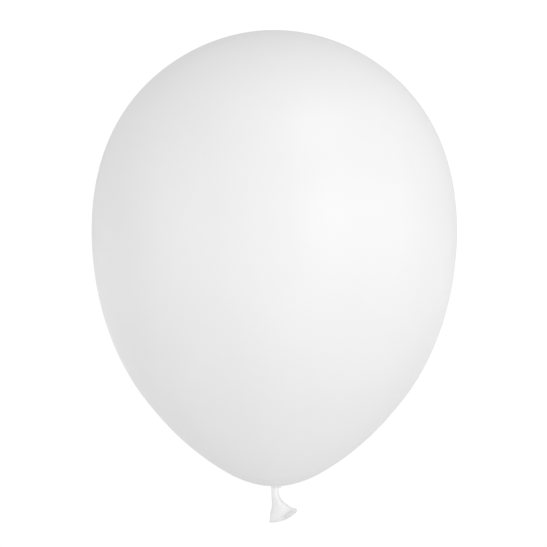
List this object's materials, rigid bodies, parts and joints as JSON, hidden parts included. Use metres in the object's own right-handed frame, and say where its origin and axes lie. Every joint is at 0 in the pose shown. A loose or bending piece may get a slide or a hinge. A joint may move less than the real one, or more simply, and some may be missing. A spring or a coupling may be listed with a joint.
{
  "type": "latex balloon",
  "caption": "Inflated pear-shaped latex balloon, closed by an overhand knot in its neck, with a narrow stem and an open flared mouth with a rolled lip.",
  "frame": {"origin": "the neck tie, where the skin is gathered thinnest between the bulb and the knot, on the bulb's axis", "axes": "+Z along the bulb's axis towards the crown; +X the way the mouth leans; -Y the side the mouth's opening shows on"},
  "size_m": [0.3604, 0.3604, 0.4859],
  "materials": {
    "inflated_latex": "satin",
    "gathered_latex": "matte",
    "slack_latex": "matte",
    "rolled_latex": "matte"
  },
  "bodies": {
    "bulb": {"envelope": "inflated_latex", "neck": "gathered_latex"},
    "knot": {"knot": "gathered_latex"},
    "stem": {"tail_sleeve": "slack_latex"},
    "mouth": {"mouth_flare": "slack_latex", "rim_bead": "rolled_latex"}
  },
  "joints": [
    {"name": "knot_twist", "type": "hinge", "parent": "bulb", "child": "knot", "pos_m": [0, 0, -0.00165], "axis": [0, 0, 1], "range_deg": [-90, 90], "stiffness_Nm_per_rad": 0.002},
    {"name": "tail_swing", "type": "hinge", "parent": "knot", "child": "stem", "pos_m": [0.0011, 0, -0.0134], "axis": [0, 1, 0], "range_deg": [-50, 60], "stiffness_Nm_per_rad": 0.001},
    {"name": "mouth_flop", "type": "hinge", "parent": "stem", "child": "mouth", "pos_m": [0.0024, 0, -0.0216], "axis": [1, 0, 0], "range_deg": [-40, 40], "stiffness_Nm_per_rad": 0.0005}
  ]
}
